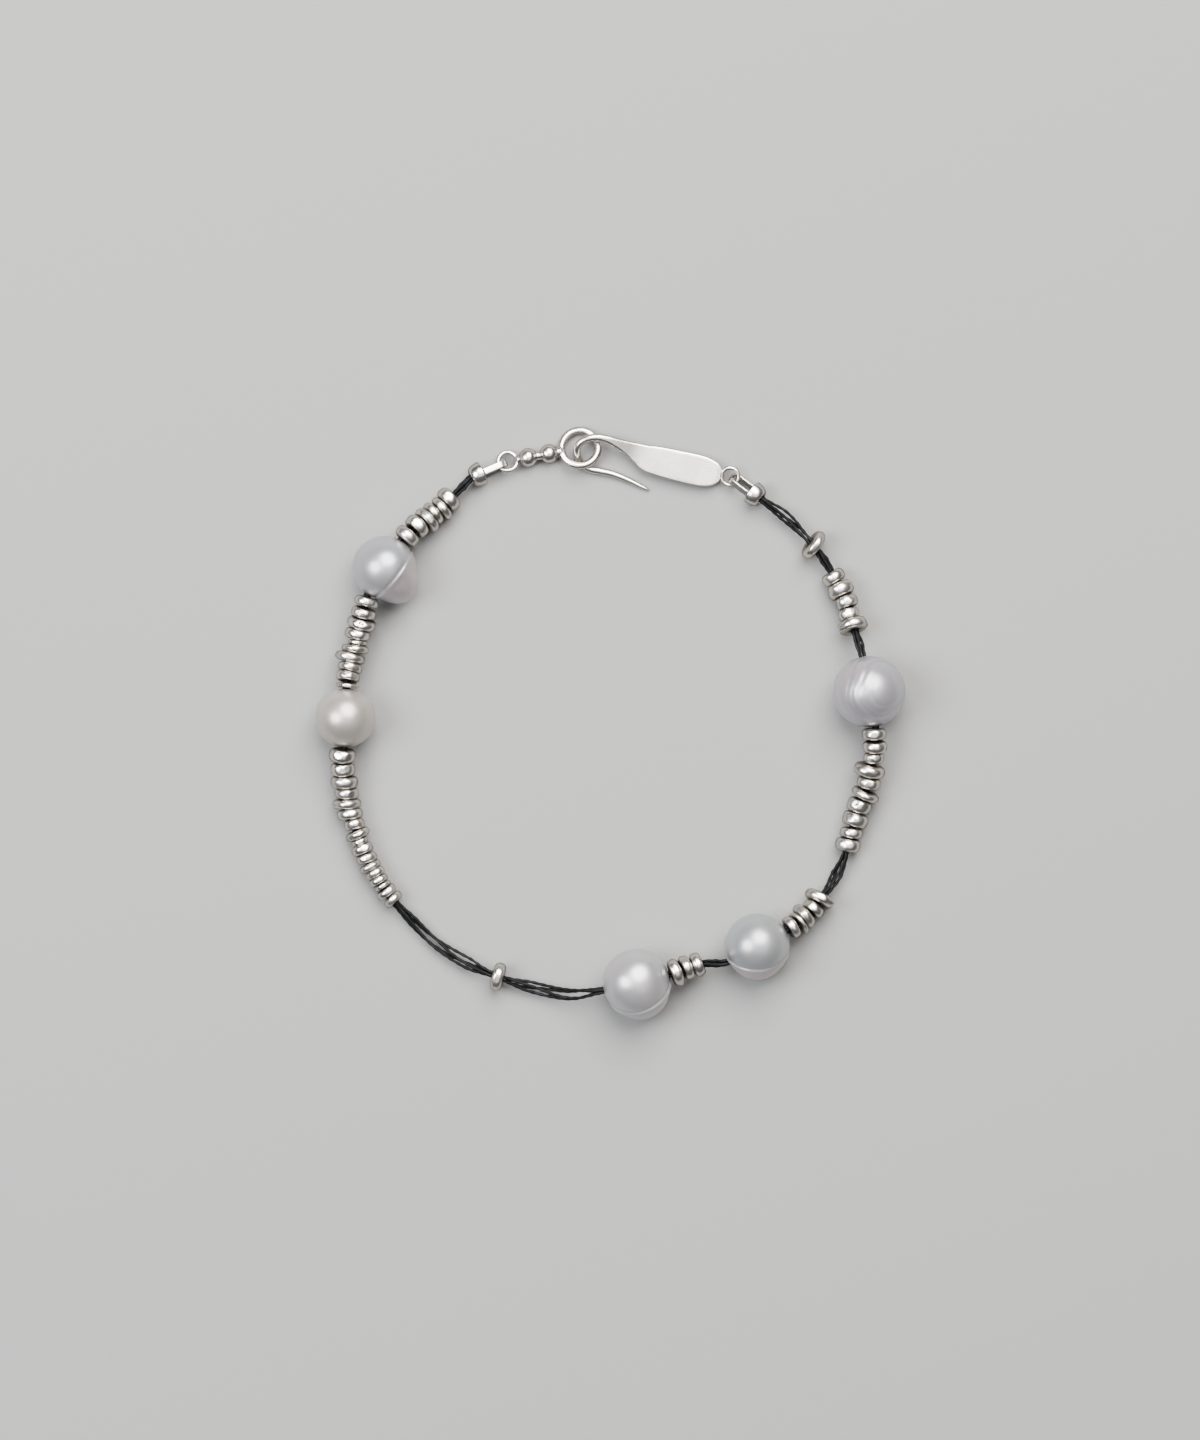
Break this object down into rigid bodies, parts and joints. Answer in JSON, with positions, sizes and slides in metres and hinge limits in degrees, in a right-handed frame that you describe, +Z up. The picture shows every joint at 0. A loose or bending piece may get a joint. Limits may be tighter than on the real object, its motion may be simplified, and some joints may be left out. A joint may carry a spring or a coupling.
{
  "type": "bracelet",
  "caption": "Bracelet of freshwater pearls and small silver spacer beads on a dark cord, closed with a silver hook and ring and lying flat.",
  "frame": {"origin": "middle of the closed bracelet's outline in plan, on the surface that it lies on", "axes": "+Z up from the surface, +Y towards the clasp, +X to the right seen from above with the clasp at the top"},
  "size_m": [0.0638, 0.064, 0.0078],
  "materials": {
    "clasp_silver": "polished silver",
    "spacer_silver": "polished, slightly hammered silver",
    "cord": "waxed black strands",
    "pearl_upper_left": "nacre, cool silver white",
    "pearl_left": "nacre, warm cream",
    "pearl_bottom": "nacre, white",
    "pearl_lower_right": "nacre, silver grey with a rosy rim",
    "pearl_right": "nacre, white with lavender growth lines"
  },
  "bodies": {
    "root": {"clasp_hook": "clasp_silver", "clasp_ring": "clasp_silver", "cord": "cord", "cord_end_left": "clasp_silver", "cord_end_right": "clasp_silver", "pearl_bottom": "pearl_bottom", "pearl_left": "pearl_left", "pearl_lower_right": "pearl_lower_right", "pearl_right": "pearl_right", "pearl_upper_left": "pearl_upper_left", "spacer_alone_bottom": "spacer_silver", "spacer_alone_right": "spacer_silver", "spacer_bottom_1": "spacer_silver", "spacer_bottom_2": "spacer_silver", "spacer_bottom_3": "spacer_silver", "spacer_lower_right_1": "spacer_silver", "spacer_lower_right_2": "spacer_silver", "spacer_lower_right_3": "spacer_silver", "spacer_lower_right_4": "spacer_silver", "spacer_lower_right_5": "spacer_silver", "spacer_right_1": "spacer_silver", "spacer_right_10": "spacer_silver", "spacer_right_2": "spacer_silver", "spacer_right_3": "spacer_silver", "spacer_right_4": "spacer_silver", "spacer_right_5": "spacer_silver", "spacer_right_6": "spacer_silver", "spacer_right_7": "spacer_silver", "spacer_right_8": "spacer_silver", "spacer_right_9": "spacer_silver", "spacer_row_left": "spacer_silver", "spacer_row_lower_left": "spacer_silver", "spacer_upper_left_1": "spacer_silver", "spacer_upper_left_2": "spacer_silver", "spacer_upper_left_3": "spacer_silver", "spacer_upper_left_4": "spacer_silver", "spacer_upper_left_5": "spacer_silver", "spacer_upper_left_6": "spacer_silver", "spacer_upper_right_1": "spacer_silver", "spacer_upper_right_2": "spacer_silver", "spacer_upper_right_3": "spacer_silver", "spacer_upper_right_4": "spacer_silver", "spacer_upper_right_5": "spacer_silver"}
  },
  "joints": []
}
